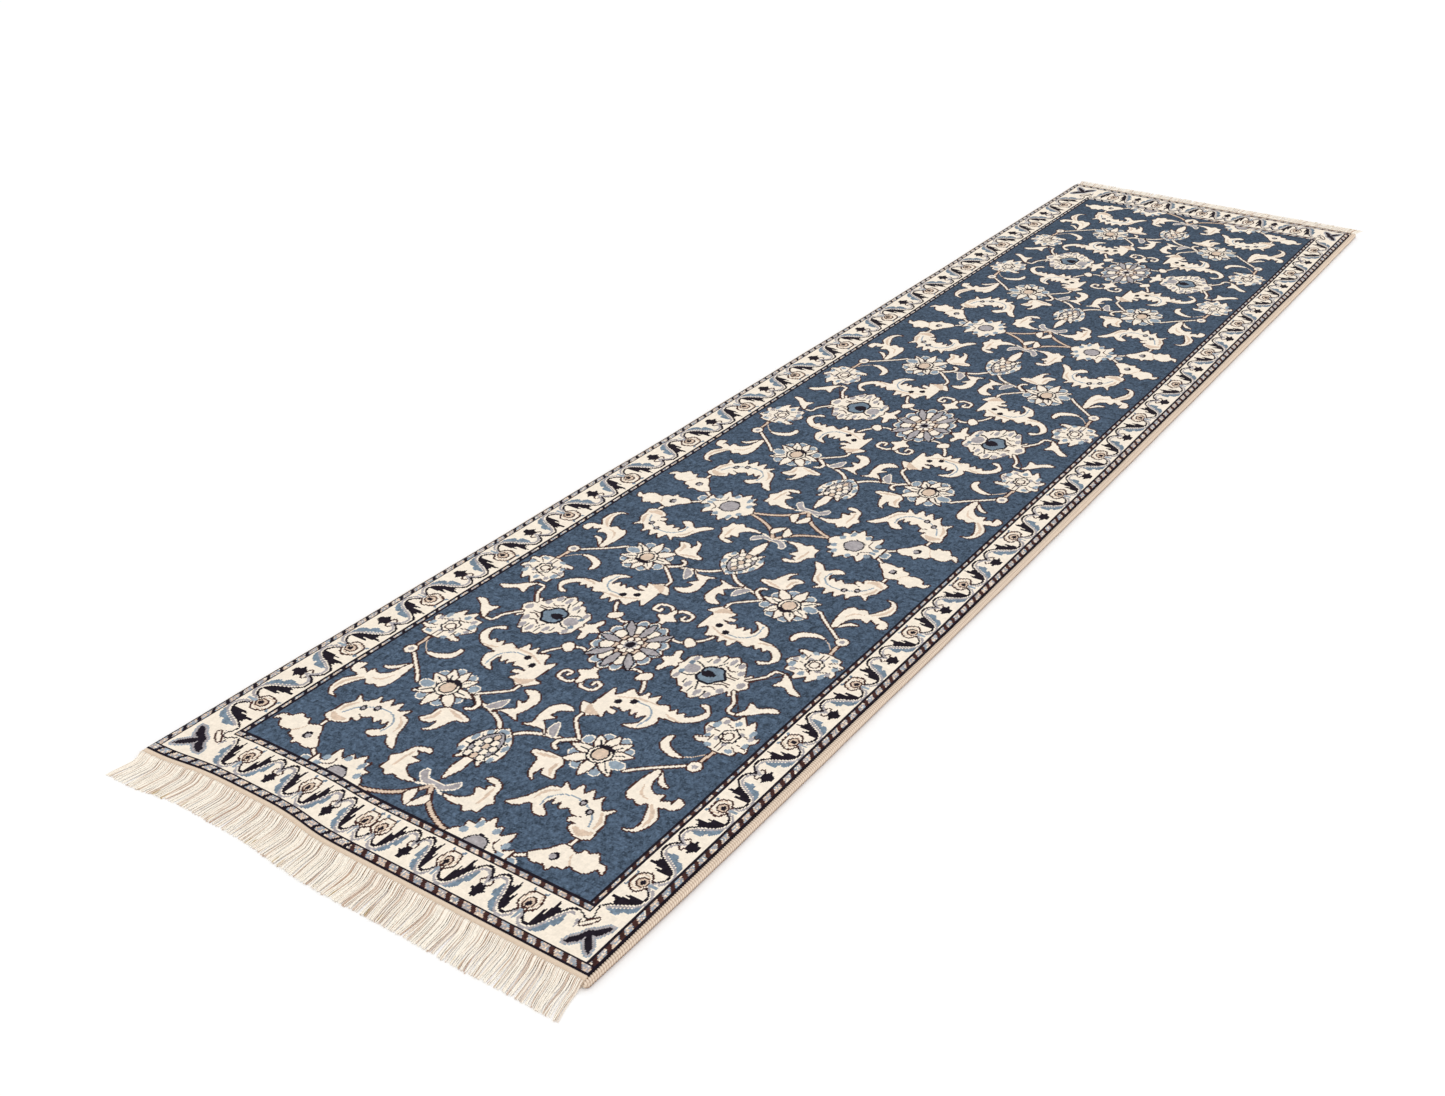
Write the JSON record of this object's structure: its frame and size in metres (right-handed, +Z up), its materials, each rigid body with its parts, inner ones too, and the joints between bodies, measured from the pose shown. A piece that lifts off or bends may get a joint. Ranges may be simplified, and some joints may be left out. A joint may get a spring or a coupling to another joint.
{
  "type": "runner rug",
  "caption": "Hand-knotted runner rug: patterned wool pile in a field and banded borders on a cotton ground, with corded side edges, woven ends and a fringe at each end.",
  "frame": {"origin": "on the floor, under the middle of the rug", "axes": "+X across the rug, +Y along it towards the far end, +Z up through the pile"},
  "size_m": [0.74, 3.11, 0.01],
  "materials": {
    "field_wool": "cut wool pile, matt, with a soft sheen along the nap",
    "border_wool": "cut wool pile, matt",
    "guard_wool": "cut wool pile, matt",
    "selvedge_wool": "wool yarn overcast in close turns, matt",
    "ground_cotton": "plain-woven undyed cotton, matt",
    "fringe_cotton": "plied undyed cotton yarn, matt"
  },
  "bodies": {
    "root": {"foundation": "ground_cotton", "field_pile": "field_wool", "outer_guard_left": "guard_wool", "outer_guard_right": "guard_wool", "outer_guard_near": "guard_wool", "outer_guard_far": "guard_wool", "main_border_left": "border_wool", "main_border_right": "border_wool", "main_border_near": "border_wool", "main_border_far": "border_wool", "inner_guard_left": "guard_wool", "inner_guard_right": "guard_wool", "inner_guard_near": "guard_wool", "inner_guard_far": "guard_wool", "selvedge_wrap_left": "selvedge_wool", "selvedge_cord_left": "ground_cotton", "selvedge_wrap_right": "selvedge_wool", "selvedge_cord_right": "ground_cotton", "kilim_near": "ground_cotton", "end_stitch_near": "ground_cotton", "fringe_near": "fringe_cotton", "kilim_far": "ground_cotton", "end_stitch_far": "ground_cotton", "fringe_far": "fringe_cotton"}
  },
  "joints": []
}
